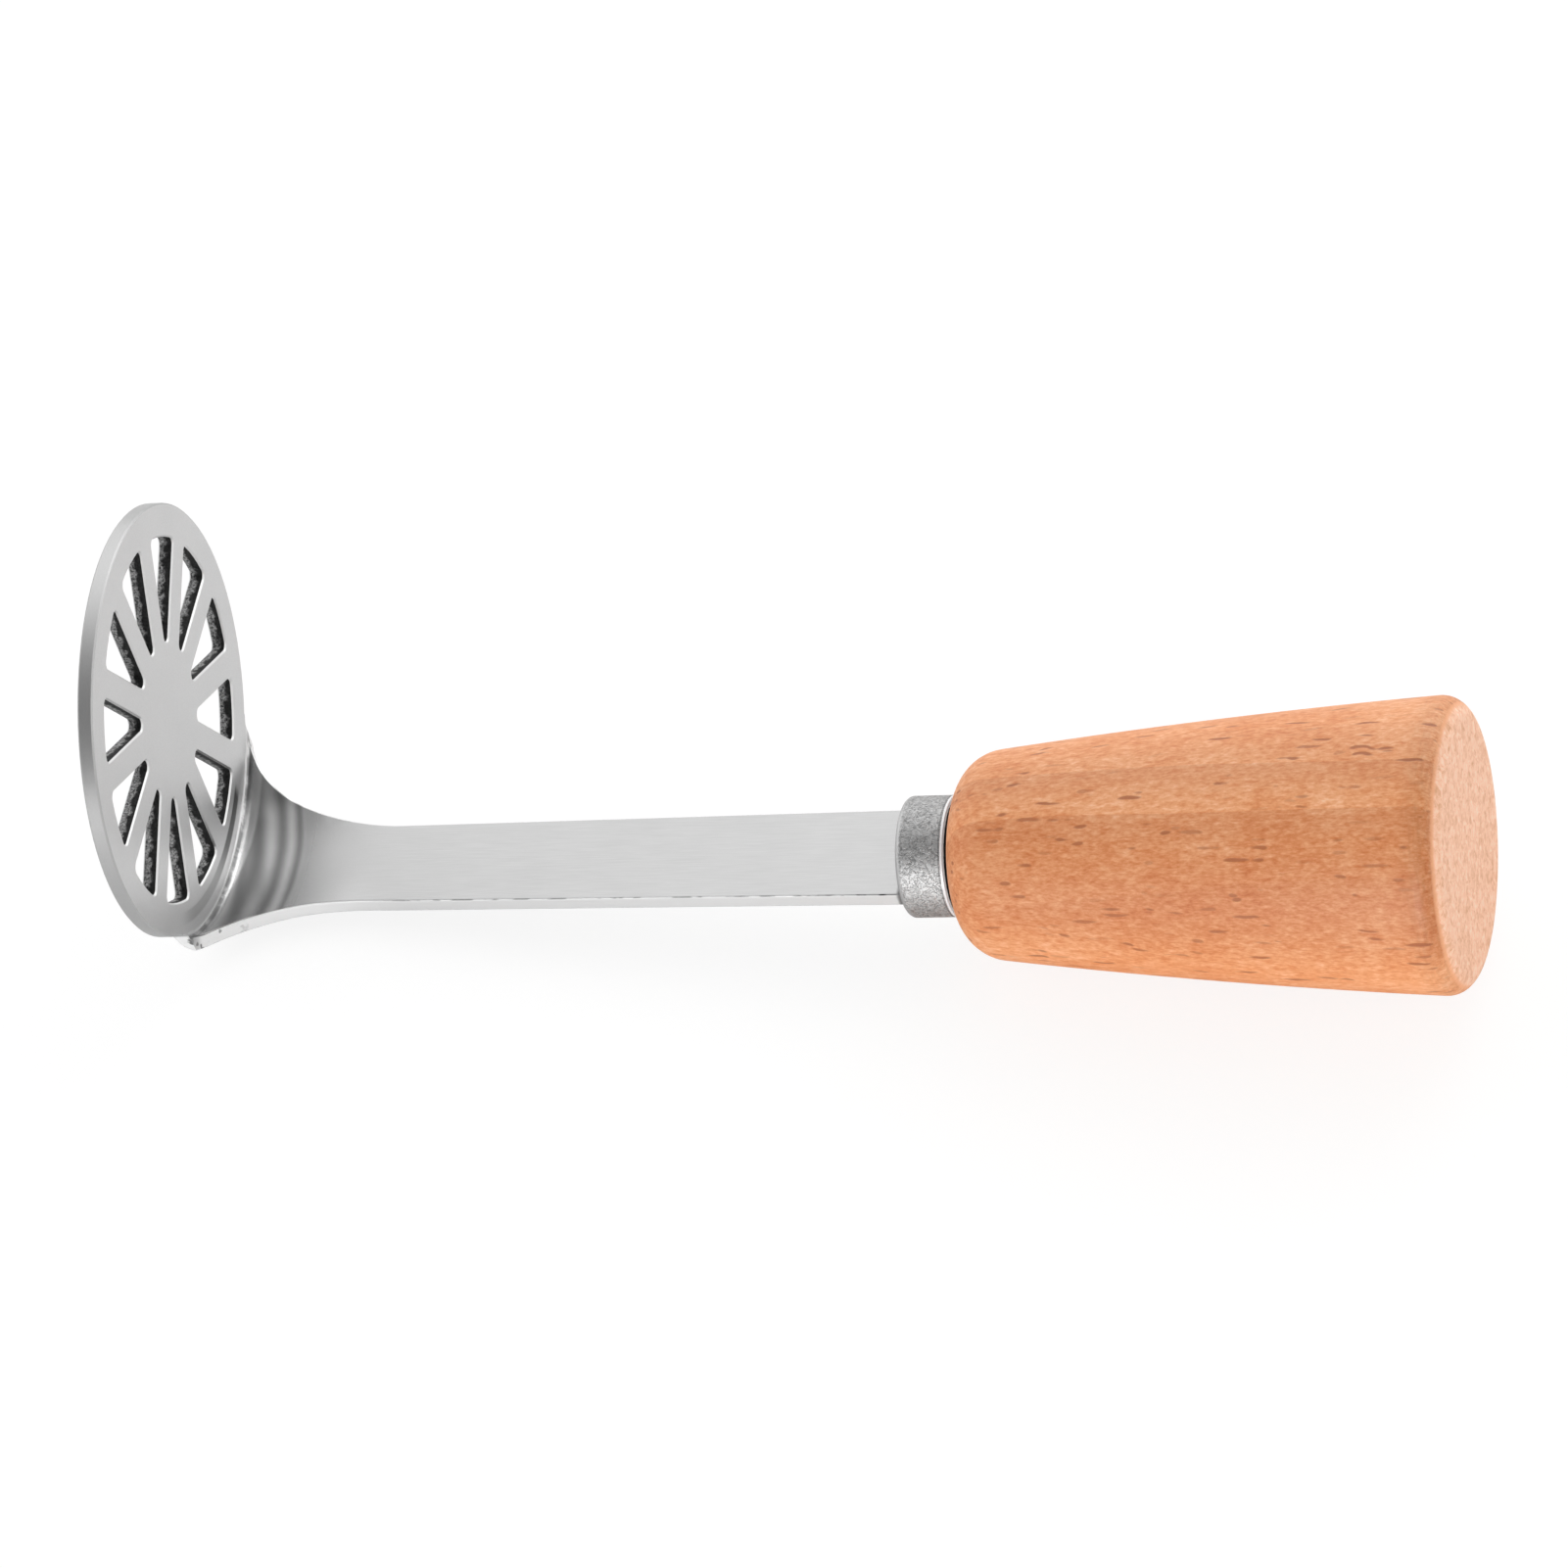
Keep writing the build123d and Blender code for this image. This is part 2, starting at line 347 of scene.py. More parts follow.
def grain_group():
    """Fine lines drawn out along one direction, as brushing or wood fibres leave them, and clouds."""
    tree, wires, entry, leaving = new_group(
        "Drawn grain",
        [
            ("Place", "NodeSocketVector", None),
            ("Stretch", "NodeSocketVector", (1.0, 1.0, 1.0)),
            ("Fineness", "NodeSocketFloat", 1.0),
        ],
        [("Lines", "NodeSocketFloat"), ("Clouds", "NodeSocketFloat")],
    )
    stretched = wires.vector("MULTIPLY", entry["Place"], entry["Stretch"])
    wires.join(wires.noise(stretched, entry["Fineness"], detail=4.0, roughness=0.65), leaving["Lines"])
    wires.join(wires.noise(entry["Place"], 0.09, detail=3.0), leaving["Clouds"])
    return tree


def shared_groups():
    """The node groups, built once: place, soft band and drawn grain."""
    if not hasattr(shared_groups, "made"):
        shared_groups.made = place_group(), band_group(), grain_group()
    return shared_groups.made


def masher_place(wires):
    return wires.group(shared_groups()[0])


def soft_band(wires, value, low, high, softness):
    """One between two limits, and zero outside them."""
    return wires.group(shared_groups()[1], Value=value, From=low, To=high, Softness=softness)["Mask"]


def drawn_grain(wires, place, stretch, fineness):
    return wires.group(shared_groups()[2], Place=place, Stretch=stretch, Fineness=fineness)


def new_material(name):
    """A material with only its surface shader, the wires to add to it, and the shader's inputs."""
    material = bpy.data.materials.new(name)
    material.use_nodes = True
    tree = material.node_tree
    shader = next(node for node in tree.nodes if node.type == "BSDF_PRINCIPLED")
    return material, Wires(tree), shader.inputs


def opaque(colour):
    """A setting's colour with full alpha, as colour sockets take it."""
    return (*colour, 1.0)


def give(node, material):
    """Puts a material in a CAD node's slots."""
    piece = frame["nodes"][node]
    for entry in piece.material_slots:
        entry.material = material


def plate_masks(wires, place):
    """The plate's sheet as a whole, and in it the slots' walls, their edges and the flat faces."""
    facing = wires.math("ABSOLUTE", place["Facing Up"])
    sheet = wires.ramp(place["Height"], SHEET + 0.05, SHEET + 0.15, 1.0, 0.0)
    inside_rim = wires.ramp(place["Radius"], SLOT_REACH, SLOT_REACH + 0.2, 1.0, 0.0)
    walls = wires.product(sheet, inside_rim, wires.ramp(facing, 0.3, 0.45, 1.0, 0.0))
    edges = wires.product(sheet, inside_rim, soft_band(wires, facing, 0.4, 0.9, 0.08))
    faces = wires.product(sheet, wires.ramp(facing, 0.8, 0.95))
    return sheet, walls, edges, faces


def cut_side_mask(wires, place):
    """The cut sides of neck and shank, without the plate's rim and the blade's inner face."""
    outward = wires.product(wires.math("SIGN", place["Across"]), place["Facing Across"])
    return wires.product(
        wires.ramp(outward, 0.12, 0.4),
        wires.ramp(place["Facing Out"], 0.35, 0.5, 1.0, 0.0),
        wires.ramp(place["Radius"], PLATE_RADIUS + 0.2, PLATE_RADIUS + 0.7),
    )


def blade_grain(wires, place):
    """Lines brushed along the bar, which turn to a fine even grain below it, and slow clouds."""
    brushing = drawn_grain(wires, place["Place"], (1.0, 1.0, 0.03), 6.0)
    even = wires.noise(place["Place"], 9.0, detail=3.0)
    on_bar = wires.ramp(place["Height"], BRUSHING_FOOT, BAR_FOOT)
    return wires.blend(on_bar, even, brushing["Lines"]), brushing["Clouds"]


def torn_steel_in_painted_shade(wires, place, grit, finish):
    """Torn steel painted near black as the shade inside the slots, with lighter specks that grow few
    towards the plate's upper face.
    """
    coarse = wires.noise(place["Place"], 0.7, detail=2.0)
    torn_height = wires.math("ADD", place["Height"], wires.swing(coarse, 2.4, 0.0))
    specks = wires.product(
        wires.ramp(torn_height, SHEET * 0.36, SHEET * 0.62, 1.0, 0.05), wires.ramp(grit, 0.36, 0.64)
    )
    return wires.mix(specks, opaque(finish.torn_steel_in_painted_shade), opaque(finish.torn_light))


def nicked_steel(wires, place, finish):
    """Bright cut steel, painted lighter than the rest of the sheet, with dark nicks by the crease."""
    nicks = wires.ramp(wires.noise(place["Place"], 0.45, detail=2.0), 0.56, 0.62)
    nicks = wires.product(nicks, wires.ramp(place["Height"], *NICK_HEIGHTS, 0.85, 0.0))
    return wires.mix(nicks, opaque(finish.cut_steel_painted_lighter), NICK)


def crease_shade(wires, place, sheet, toward_neck):
    """The groove in the plate before the neck with painted shade in it, and a painted dark line of shade
    along the crease.
    """
    height, across, radius = place["Height"], place["Across"], place["Radius"]
    far_side = wires.product(
        wires.ramp(across, *GROOVE_START, 0.35, 1.0), wires.ramp(across, *GROOVE_END, 1.0, 0.0)
    )
    groove = wires.product(sheet, toward_neck, far_side, soft_band(wires, radius, *GROOVE_RADII, 0.5))
    along_crease = wires.noise(wires.combine(0.0, across, height), 0.30, detail=4.0, roughness=0.7)
    line = wires.product(
        toward_neck,
        wires.ramp(along_crease, 0.36, 0.56, 0.6, 1.0),
        soft_band(wires, radius, *CREASE_RADII, 0.25),
        wires.ramp(height, CREASE_TOP + 1.0, CREASE_TOP),
    )
    marks = wires.strongest(wires.product(groove, 0.85), wires.product(line, 0.8))
    return groove, wires.product(marks, wires.ramp(height, SHEET - 0.3, SHEET - 0.1))


def near_edge_dashes(wires, place):
    """Dark dashes along the shank's near edge, with more of them towards the ferrule."""
    flecks = wires.noise(wires.vector("MULTIPLY", place["Place"], (1.0, 1.0, 0.5)), 0.9)
    flecks = wires.product(wires.ramp(flecks, 0.42, 0.60), 0.5)
    by_ferrule = wires.ramp(place["Height"], DASHES_THICKEN, FERRULE_FOOT, 0.0, 0.65)
    return wires.product(
        wires.ramp(place["Facing Across"], -0.96, -0.90),
        wires.ramp(place["Facing Across"], -0.25, -0.35),
        wires.ramp(place["Facing Out"], -0.2, -0.35),
        wires.ramp(place["Height"], DASHES_FOOT, BAR_FOOT),
        wires.math("ADD", flecks, by_ferrule),
    )


def painted_neck_reflections(wires, place, polished, toward_neck, contrast):
    """Painted reflection and shade on the polished neck: light and dark bands, a darker near side, a
    lighter far side that darkens again at its edge, and a painted highlight strip at its foot.
    """
    height, across = place["Height"], place["Across"]
    beyond = wires.math("MAXIMUM", across, 0.0)
    band_place = wires.math("MULTIPLY_ADD", wires.product(beyond, beyond), BAND_BEND, height)
    uneven = wires.swing(wires.noise(place["Place"], 0.11), 0.9, 0.0)
    band_phase = wires.math("DIVIDE", wires.math("ADD", band_place, uneven), FIRST_DARK_BAND)
    bands = wires.math("COSINE", wires.math("MULTIPLY", wires.product(band_phase, band_phase), math.pi))
    painted_far_side_light = wires.math(
        "ADD", wires.ramp(across, *NEAR_TO_FAR, -0.58, 0.30), wires.ramp(across, *FAR_EDGE, 0.0, -0.42)
    )
    on_bands = soft_band(wires, band_place, *BAND_HEIGHTS, 1.5)
    painted_band_strength = wires.product(polished, on_bands, wires.math("ADD", painted_far_side_light, 1.0))
    strip_top = wires.ramp(across, *STRIP_WIDTH, *STRIP_TOPS)
    above_strip = wires.math("SUBTRACT", height, strip_top)
    painted_foot_highlight = wires.product(polished, toward_neck, wires.ramp(above_strip, -0.2, 0.4, 0.65, 0.0))
    rubbing_and_painted_light = wires.total(wires.product(polished, painted_far_side_light), painted_foot_highlight, 1.0)
    return wires.math("MULTIPLY_ADD", wires.product(bands, painted_band_strength), contrast, rubbing_and_painted_light)


def blade_steel(finish):
    """Satin plate and shank and a polished neck, with painted light: the plate's faces, slot edges and
    cut sides painted lighter, torn slot walls painted near black, painted shade in the groove, along the
    crease and where the shank enters the ferrule, and painted reflection bands on the neck.
    """
    material, wires, shader = new_material("blade_steel")
    place = masher_place(wires)
    height, radius = place["Height"], place["Radius"]
    sheet, slot_walls, slot_edges, plate_face = plate_masks(wires, place)
    cut_sides = cut_side_mask(wires, place)
    toward_neck = wires.ramp(wires.math("DIVIDE", place["Out"], radius), *NECK_SECTOR)
    polished = wires.product(
        wires.ramp(radius, PLATE_RADIUS, PLATE_RADIUS + 0.6),
        wires.ramp(height, *POLISH_HEIGHTS, 1.0, 0.0),
        wires.invert(cut_sides),
    )

    lines, clouds = blade_grain(wires, place)
    tone = wires.math("ADD", wires.swing(lines, finish.brushing), wires.swing(clouds, 0.08, 0.0))
    # The plate's faces are painted lighter than the same steel of the shank and rim
    steel = wires.mix(plate_face, opaque(finish.steel), opaque(finish.plate_steel_painted_lighter))
    # The slots' broken edges are painted lighter, as a painted highlight
    steel = wires.mix(slot_edges, wires.shade(steel, tone), opaque(finish.slot_edge_and_highlight))
    grit = wires.noise(place["Place"], 2.6, detail=5.0, roughness=0.8)
    colour = wires.mix(slot_walls, steel, torn_steel_in_painted_shade(wires, place, grit, finish))
    colour = wires.mix(cut_sides, colour, nicked_steel(wires, place, finish))
    groove, crease = crease_shade(wires, place, sheet, toward_neck)
    # Painted shadow on the shank just below the ferrule's front
    painted_entry_shadow = wires.product(wires.ramp(height, FERRULE_FOOT - 0.7, FERRULE_FOOT - 0.1), 0.75)
    # Painted shade in the groove and along the crease, painted shadow at the ferrule's mouth, and the
    # near edge's dark dashes
    marks = wires.strongest(crease, near_edge_dashes(wires, place), painted_entry_shadow)
    colour = wires.mix(marks, colour, DARK_SHADE_AND_DASHES)
    # Painted reflections, light and shade on the polished neck, multiplied into the colour
    painted_neck_light = painted_neck_reflections(wires, place, polished, toward_neck, finish.painted_band_contrast)
    wires.join(wires.shade(colour, painted_neck_light), shader["Base Color"])

    roughness = wires.blend(slot_walls, wires.blend(polished, SATIN, POLISHED), TORN)
    wires.join(wires.blend(cut_sides, roughness, CUT), shader["Roughness"])
    # The cut sides lose metal shine towards the neck, so their painted light colour reads bright there
    cut_neck = wires.product(cut_sides, wires.ramp(height, BRIGHT_CUT_FOOT, BAR_FOOT, 0.75, 0.25))
    wires.join(wires.invert(cut_neck), shader["Metallic"])

    torn = wires.product(slot_walls, grit, TORN_DEPTH)
    brushed = wires.product(lines, wires.invert(polished))
    relief = wires.total(torn, wires.product(groove, GROOVE_DEPTH), brushed)
    wires.join(wires.bump(relief, STEEL_RELIEF, 0.6), shader["Normal"])
    return material


def ferrule_metal(finish):
    """Grey metal with the worm-like marks of tumbling, a rubbed front edge painted lighter as its
    highlight, a painted highlight on the rear rim with painted shade round it, and painted light on its
    near side.
    """
    material, wires, shader = new_material("ferrule_metal")
    place = masher_place(wires)
    height = place["Height"]
    # Painted highlight on the rear rim; painted shade just under the rim and in the gap behind it
    rim = soft_band(wires, height, *FERRULE_RIM, 0.08)
    under_rim = soft_band(wires, height, *UNDER_RIM, 0.1)
    behind_rim = wires.ramp(height, *BEHIND_RIM)
    # The rubbed front edge, painted lighter as its highlight
    rubbing_and_painted_light = wires.ramp(height, *WORN_EDGE_AND_HIGHLIGHT, 1.0, 0.0)

    slanted = wires.vector("MULTIPLY", place["Place"], (1.0, 1.0, 0.8))
    swirl = wires.noise(slanted, 1.15, detail=1.0, distortion=1.6)
    worms = wires.ramp(wires.math("ABSOLUTE", wires.math("SUBTRACT", swirl, 0.5)), 0.0, 0.10)
    grains = wires.noise(place["Place"], 2.2, detail=2.0)
    tone = wires.math("ADD", wires.swing(worms, 0.5), wires.swing(grains, 1.1, 0.0))
    tone = wires.blend(rubbing_and_painted_light, tone, 1.0)
    # Painted light: the ferrule is lighter on its near side and darker elsewhere
    painted_near_side_light = wires.ramp(place["Facing Across"], -0.95, -0.55, 1.2, 0.94)
    grey = wires.mix(rubbing_and_painted_light, opaque(finish.ferrule), opaque(finish.ferrule_edge_and_highlight))
    grey = wires.shade(grey, wires.product(tone, painted_near_side_light))
    shaded = wires.strongest(wires.product(under_rim, 0.4), wires.product(behind_rim, 0.9))
    grey = wires.mix(shaded, grey, RIM_SHADE)
    wires.join(wires.mix(rim, grey, PAINTED_RIM_HIGHLIGHT), shader["Base Color"])
    wires.join(wires.blend(rim, wires.blend(rubbing_and_painted_light, TUMBLED, RUBBED), RUBBED), shader["Roughness"])
    wires.join(wires.math("MULTIPLY_ADD", rim, -0.75, 1.0), shader["Metallic"])
    rough = wires.product(worms, wires.invert(wires.strongest(rim, rubbing_and_painted_light)))
    wires.join(wires.bump(rough, FERRULE_RELIEF, 0.7), shader["Normal"])
    return material


def rings_and_painted_shade(wires, wood, level, out):
    """Share of dark wood: growth rings round the tree's heart, painted shade along the handle's near
    side, and the rings fading towards the underside as painted light.
    """
    drift = wires.noise(wires.vector("MULTIPLY", wood, (0.08, 0.08, 0.02)), 1.0, detail=2.0)
    leaning = wires.vector("DOT_PRODUCT", wood, RING_LEAN)
    from_heart = wires.vector("LENGTH", wires.vector("SUBTRACT", level, HEART))
    rings = wires.math("ADD", from_heart, wires.math("MULTIPLY_ADD", drift, RING_DRIFT, leaning))
    turns = wires.math("DIVIDE", wires.math("SUBTRACT", rings, RING_START), RING_WIDTH)
    ring = wires.math("FRACT", turns)
    rings_and_shade = wires.product(wires.ramp(ring, 0.0, 0.96), wires.ramp(ring, 0.975, 1.0, 1.0, 0.0))
    clear = soft_band(wires, rings, *CLEAR_RINGS, 3.0)
    rings_and_shade = wires.product(rings_and_shade, wires.math("MULTIPLY_ADD", clear, 0.36, 0.12))
    rings_and_shade = wires.math("ADD", rings_and_shade, wires.ramp(rings, *PAINTED_SHADE_RINGS, 0.0, 0.72))
    return wires.product(rings_and_shade, wires.ramp(out, *RINGS_FADE, 1.0, 0.0))


def ray_mask(wires, wood):
    """Short dark rays along the wood, each of its own strength."""
    bent = wires.math("MULTIPLY", wires.noise(wood, 0.12), 3.2)
    shifted = wires.vector("ADD", wood, wires.combine(bent, bent, 0.0))
    distance, random_colour = wires.cells(wires.vector("MULTIPLY", shifted, RAY_STRETCH), RAY_CELLS)
    strength = wires.ramp(wires.vector("DOT_PRODUCT", random_colour, (1.0, 0.0, 0.0)), 0.0, 0.9)
    return wires.product(wires.ramp(distance, *RAY_WIDTH, 1.0, 0.0), strength)


def beech(finish):
    """Turned beech: faint growth rings, short dark rays, fine pores and pale end grain, with painted
    shade on its near side, by the butt and where the ferrule meets it, painted light on its underside,
    and a painted highlight on the butt's edge.
    """
    material, wires, shader = new_material("beech")
    place = masher_place(wires)
    height = place["Height"]
    wood = wires.vector("SUBTRACT", place["Place"], (axis_out, 0.0, HANDLE_FOOT))
    level = wires.vector("MULTIPLY", wood, (1.0, 1.0, 0.0))
    rings_and_shade = rings_and_painted_shade(wires, wood, level, place["Out"])
    colour = wires.mix(rings_and_shade, opaque(finish.beech_light), opaque(finish.beech_dark))

    fibre = drawn_grain(wires, wood, (1.0, 1.0, 0.08), 1.1)
    ripple = wires.noise(wires.vector("MULTIPLY", wood, (1.0, 1.0, 0.45)), 1.3, detail=2.0)
    pores = wires.noise(wires.vector("MULTIPLY", wood, (1.0, 1.0, 0.35)), 3.0, detail=2.0, roughness=0.6)
    tone = wires.total(
        wires.swing(pores, 0.45),
        wires.swing(ripple, 0.32, 0.0),
        wires.swing(fibre["Lines"], 0.22, 0.0),
        wires.swing(fibre["Clouds"], 0.26, 0.0),
    )
    colour = wires.shade(colour, tone, green=2.7, blue=4.6)

    rays = ray_mask(wires, wood)
    end_grain = wires.ramp(place["Facing Up"], *END_GRAIN)
    side_rays = wires.product(rays, wires.invert(end_grain), finish.rays)
    colour = wires.mix(side_rays, colour, opaque(finish.ray))

    # Painted shade of the butt's rounding, broken up by turning scratches
    by_butt = wires.ramp(height, *SCORED_AND_SHADED_HEIGHTS)
    scored = wires.noise(wires.vector("MULTIPLY", wood, (0.4, 0.4, 2.0)), 1.2, detail=3.0)
    scoring_and_painted_shade = wires.math("MULTIPLY_ADD", wires.product(by_butt, scored), -0.28, 1.0)
    colour = wires.shade(colour, scoring_and_painted_shade, green=1.3, blue=1.7)
    mottle = wires.noise(wood, 0.85, detail=3.0, roughness=0.65, distortion=0.8)
    ends = wires.shade(opaque(finish.end_grain), wires.swing(mottle, 1.0), green=1.7, blue=2.6)
    colour = wires.mix(end_grain, colour, ends)
    # A painted highlight along the butt's rounded edge
    butt_edge_highlight = soft_band(wires, place["Facing Up"], *BUTT_EDGE, 0.08)
    colour = wires.mix(wires.product(butt_edge_highlight, 0.6), colour, PAINTED_BUTT_EDGE_HIGHLIGHT)
    # Painted shadow on the wood where the ferrule meets the handle
    painted_seat_shadow = wires.product(
        wires.ramp(wires.vector("LENGTH", level), *SEAT_RADII, 1.0, 0.0),
        wires.ramp(height, *SEAT_HEIGHTS, 1.0, 0.0),
    )
    colour = wires.mix(painted_seat_shadow, colour, opaque(finish.painted_seat_shadow))
    wires.join(colour, shader["Base Color"])
    wires.join(wires.swing(pores, 0.3, 0.5), shader["Roughness"])
    relief = wires.math("MULTIPLY_ADD", rays, RAY_DEPTH, wires.math("ADD", pores, ripple))
    wires.join(wires.bump(relief, WOOD_RELIEF, 0.6), shader["Normal"])
    return material


def cured_epoxy(finish):
    """The cloudy amber adhesive inside the handle."""
    material, wires, shader = new_material("cured_epoxy")
    cloudy = drawn_grain(wires, masher_place(wires)["Place"], (1.0, 1.0, 1.0), 0.7)["Lines"]
    wires.join(wires.shade(opaque(finish.epoxy), wires.swing(cloudy, 0.3)), shader["Base Color"])
    wires.join(wires.math("MULTIPLY_ADD", cloudy, 0.2, 0.35), shader["Roughness"])
    return material


def colour_property(name, description, default):
    """A colour that the sidebar shows, as linear red, green and blue."""
    return FloatVectorProperty(
        name=name, description=description, subtype="COLOR", size=3, min=0.0, max=1.0, default=default
    )


def share_property(name, description, default):
    """A strength between none and full."""
    return FloatProperty(
        name=name, description=description, subtype="FACTOR", min=0.0, max=1.0, default=default
    )


class MasherFinishes(bpy.types.PropertyGroup):
    """Colours of the masher's finishes, and the strength of their marks."""

    steel: colour_property("Steel", "Satin steel of the shank and the plate's rim", (0.52, 0.52, 0.52))
    # Same steel as the shank, painted lighter on the plate's faces
    plate_steel_painted_lighter: colour_property("Plate", "Satin steel of the plate's faces", (0.72, 0.72, 0.72))
    # Slot edges painted lighter as their highlight
    slot_edge_and_highlight: colour_property("Slot edges", "Light broken edges of the slots", (0.77, 0.77, 0.77))
    # Cut sides painted lighter than the same steel elsewhere, standing in for light on them
    cut_steel_painted_lighter: colour_property("Cut sides", "Bright cut sides of the neck and shank", (0.85, 0.85, 0.85))
    # Slot walls: torn steel painted near black as the shade inside the slots
    torn_steel_in_painted_shade: colour_property("Slot walls", "Dark torn steel inside the slots", (0.02, 0.02, 0.02))
    torn_light: colour_property("Slot specks", "Lighter specks on the slot walls", (0.60, 0.60, 0.60))
    ferrule: colour_property("Ferrule", "Tumbled grey metal", (0.41, 0.41, 0.41))
    # Rubbed front edge of the ferrule, painted lighter as its highlight
    ferrule_edge_and_highlight: colour_property("Ferrule edge", "Worn front edge of the ferrule", (0.60, 0.60, 0.60))
    beech_light: colour_property("Early wood", "Lighter part of each growth ring", (0.89, 0.38, 0.165))
    # Also the colour of the painted shade along the handle's near side
    beech_dark: colour_property("Late wood", "Darker part of each growth ring", (0.68, 0.25, 0.098))
    ray: colour_property("Rays", "Short dark rays in the beech", (0.42, 0.125, 0.042))
    end_grain: colour_property("End grain", "Pale end grain on the butt", (0.98, 0.56, 0.36))
    # Colour of the painted shadow where the ferrule meets the handle
    painted_seat_shadow: colour_property("Seat", "Shaded wood where the ferrule meets the handle", (0.05, 0.015, 0.006))
    epoxy: colour_property("Epoxy", "Adhesive inside the handle", (0.62, 0.52, 0.30))
    brushing: share_property("Brushing", "Contrast of the brushed lines in the steel", 0.30)
    # Contrast of the painted reflection bands on the neck
    painted_band_contrast: share_property("Polish bands", "Contrast of the polished bands on the neck", 0.38)
    rays: share_property("Ray strength", "How strongly the rays darken the beech", 0.85)


class MasherStage(bpy.types.PropertyGroup):
    """Camera, floor and light."""

    distance: FloatProperty(
        name="Camera distance", description="From the camera to its aim", default=1.42884, unit="LENGTH"
    )
    azimuth: FloatProperty(
        name="Azimuth", description="Camera's turn about the vertical",
        default=math.radians(17.7498), unit="ROTATION",
    )
    elevation: FloatProperty(
        name="Elevation", description="Camera's angle above the floor",
        default=math.radians(48.2768), unit="ROTATION",
    )
    roll: FloatProperty(
        name="Roll", description="Turn of the camera about its view",
        default=math.radians(-10.1766), unit="ROTATION",
    )
    lens: FloatProperty(
        name="Focal length", description="On a 36 mm sensor", default=220.91, unit="CAMERA"
    )
    aim: FloatVectorProperty(
        name="Aim", description="Point in the middle of the picture",
        default=(-0.0030, 0.00157, 0.02715), subtype="TRANSLATION", unit="LENGTH",
    )
    floor_reach: FloatProperty(
        name="Floor", description="Half the floor's width", default=6.0, unit="LENGTH"
    )
    floor: colour_property("Floor colour", "Pale floor under the masher", (0.95, 0.95, 0.95))
    sky: FloatProperty(name="Sky", description="Brightness of the room around the masher", default=1.3)
    camera_side: share_property("Camera side", "Share of the room's light left behind the camera", 0.1)
    front_power: FloatProperty(
        name="Front lamp", description="Power of the low front lamp", default=5.9, unit="POWER"
    )
    side_power: FloatProperty(
        name="Side lamp", description="Power of the lamp by the butt", default=1.5, unit="POWER"
    )
    back_power: FloatProperty(
        name="Back lamp", description="Power of the lamp behind", default=4.5, unit="POWER"
    )


class MASHER_OT_blade(bpy.types.Operator):
    """Dress the blade in steel"""

    bl_idname = "masher.blade"
    bl_label = "Blade"

    def execute(self, context):
        give("masher_blade", blade_steel(context.scene.masher_finishes))
        return {"FINISHED"}


class MASHER_OT_ferrule(bpy.types.Operator):
    """Dress the ferrule in tumbled metal"""

    bl_idname = "masher.ferrule"
    bl_label = "Ferrule"

    def execute(self, context):
        give("ferrule", ferrule_metal(context.scene.masher_finishes))
        return {"FINISHED"}


class MASHER_OT_handle(bpy.types.Operator):
    """Dress the handle in beech, and the adhesive inside it"""

    bl_idname = "masher.handle"
    bl_label = "Handle"

    def execute(self, context):
        finishes = context.scene.masher_finishes
        give("handle", beech(finishes))
        give("tang_epoxy", cured_epoxy(finishes))
        return {"FINISHED"}


def floor_material(stage):
    """A pale floor that looks white to the camera and keeps the masher's shadow."""
    material, wires, inputs = new_material("pale_floor")
    ending = next(node for node in material.node_tree.nodes if node.type == "OUTPUT_MATERIAL")
    coordinates = wires.node("ShaderNodeTexCoord").outputs["Object"]
    cloud = wires.math("MULTIPLY_ADD", wires.noise(coordinates, 2.0), 0.02, 0.99)
    wires.join(wires.shade(opaque(stage.floor), cloud), inputs["Base Color"])
    wires.join(0.8, inputs["Roughness"])
    wires.join(0.1, inputs["Specular IOR Level"])
    glow = wires.node("ShaderNodeEmission")
    wires.join(FLOOR_GLOW, glow.inputs["Strength"])
    seen = wires.node("ShaderNodeLightPath").outputs["Is Camera Ray"]
    surface = inputs["Base Color"].node.outputs[0]
    share = wires.product(seen, GLOW_SHARE)
    both = wires.feed(wires.node("ShaderNodeMixShader"), share, surface, glow.outputs[0])
    wires.join(both, ending.inputs["Surface"])
    return material


def make_floor(stage):
    """A wide round floor under the masher."""
    rim = [
        (stage.floor_reach * math.cos(turn), stage.floor_reach * math.sin(turn), 0.0)
        for turn in (math.tau * side / FLOOR_SIDES for side in range(FLOOR_SIDES))
    ]
    mesh = bpy.data.meshes.new("floor")
    mesh.from_pydata(rim, [], [list(range(FLOOR_SIDES))])
    mesh.materials.append(floor_material(stage))
    floor = bpy.data.objects.new("floor", mesh)
    bpy.context.scene.collection.objects.link(floor)


def light_room(stage, toward_camera):
    """A bright even room, darker behind the camera, and white where the camera sees it."""
    world = bpy.data.worlds.new("room")
    bpy.context.scene.world = world
    world.use_nodes = True
    wires = Wires(world.node_tree)
    backdrop = next(node for node in world.node_tree.nodes if node.type == "BACKGROUND")
    direction = wires.node("ShaderNodeTexCoord").outputs["Generated"]
    near = wires.vector("DOT_PRODUCT", direction, tuple(toward_camera))
    dimmed = wires.ramp(near, *DIMMING, stage.sky, stage.sky * stage.camera_side)
    seen = wires.node("ShaderNodeLightPath").outputs["Is Camera Ray"]
    wires.join(wires.blend(seen, dimmed, 1.0), backdrop.inputs["Strength"])
    backdrop.inputs["Color"].default_value = (1.0, 1.0, 1.0, 1.0)


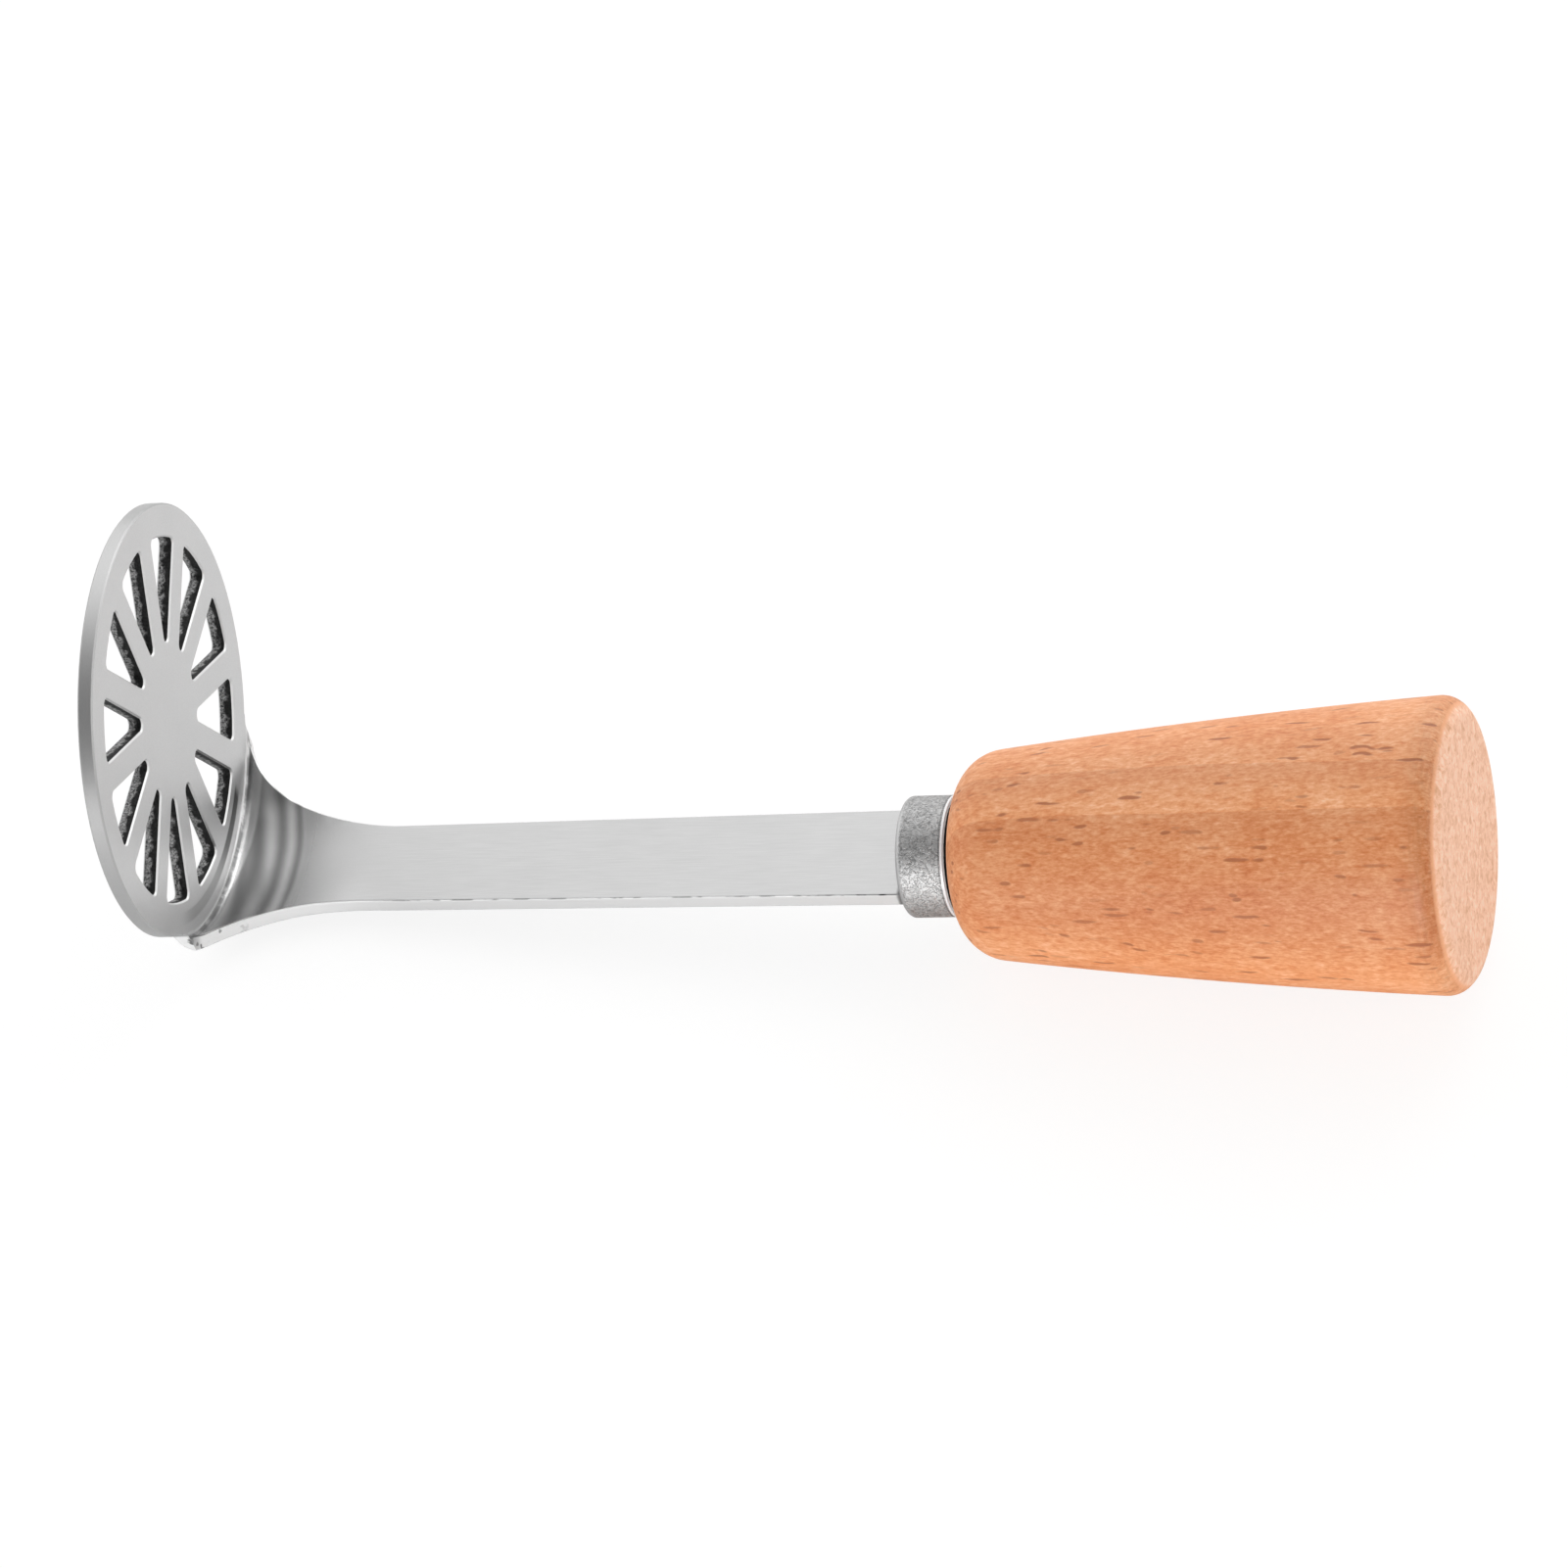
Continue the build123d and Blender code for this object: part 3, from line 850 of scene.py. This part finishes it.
def add_softbox(name, place, aim, width, power):
    """A square flat lamp at a place, turned to its aim."""
    lamp = bpy.data.lights.new(name, "AREA")
    lamp.shape = "SQUARE"
    lamp.size = width
    lamp.energy = power
    box = bpy.data.objects.new(name, lamp)
    box.location = place
    box.rotation_euler = (Vector(place) - Vector(aim)).to_track_quat("Z", "Y").to_euler()
    bpy.context.scene.collection.objects.link(box)


def make_camera(stage):
    """The camera at the photograph's angle; returns the direction from the aim to it."""
    flat = math.cos(stage.elevation)
    toward = Vector(
        (math.sin(stage.azimuth) * flat, -math.cos(stage.azimuth) * flat, math.sin(stage.elevation))
    )
    camera = bpy.data.objects.new("camera", bpy.data.cameras.new("camera"))
    camera.data.lens = stage.lens
    camera.data.sensor_width = SENSOR_WIDTH
    camera.data.clip_end = VIEW_END
    level = toward.to_track_quat("Z", "Y").to_matrix()
    rolled = level @ Matrix.Rotation(stage.roll, 3, "Z")
    place = Vector(stage.aim) + toward * stage.distance
    camera.matrix_world = Matrix.Translation(place) @ rolled.to_4x4()
    bpy.context.scene.collection.objects.link(camera)
    bpy.context.scene.camera = camera
    return toward


class MASHER_OT_stage(bpy.types.Operator):
    """Set the camera, the floor and the light"""

    bl_idname = "masher.stage"
    bl_label = "Stage"

    def execute(self, context):
        stage = context.scene.masher_stage
        make_floor(stage)
        light_room(stage, make_camera(stage))
        for name, place, aim, width, power in SOFTBOXES:
            add_softbox(name, place, aim, width, getattr(stage, power))
        context.scene.view_settings.view_transform = "Standard"
        return {"FINISHED"}


class MASHER_PT_panel(bpy.types.Panel):
    """Colours, camera, light and steps of the masher"""

    bl_label = "Masher"
    bl_idname = "MASHER_PT_panel"
    bl_space_type = "VIEW_3D"
    bl_region_type = "UI"
    bl_category = "Masher"

    def draw(self, context):
        for settings in (context.scene.masher_finishes, context.scene.masher_stage):
            column = self.layout.column()
            for name in type(settings).__annotations__:
                column.prop(settings, name)
        for step in STEPS:
            self.layout.operator(step.bl_idname)


STEPS = (MASHER_OT_stage, MASHER_OT_blade, MASHER_OT_ferrule, MASHER_OT_handle)
CLASSES = (MasherFinishes, MasherStage, *STEPS, MASHER_PT_panel)


def register():
    for made in CLASSES:
        bpy.utils.register_class(made)
    bpy.types.Scene.masher_finishes = PointerProperty(type=MasherFinishes)
    bpy.types.Scene.masher_stage = PointerProperty(type=MasherStage)


def unregister():
    del bpy.types.Scene.masher_stage
    del bpy.types.Scene.masher_finishes
    for made in reversed(CLASSES):
        bpy.utils.unregister_class(made)


def main():
    register()
    bpy.ops.masher.stage()
    bpy.ops.masher.blade()
    bpy.ops.masher.ferrule()
    bpy.ops.masher.handle()


if __name__ == "__main__":
    main()
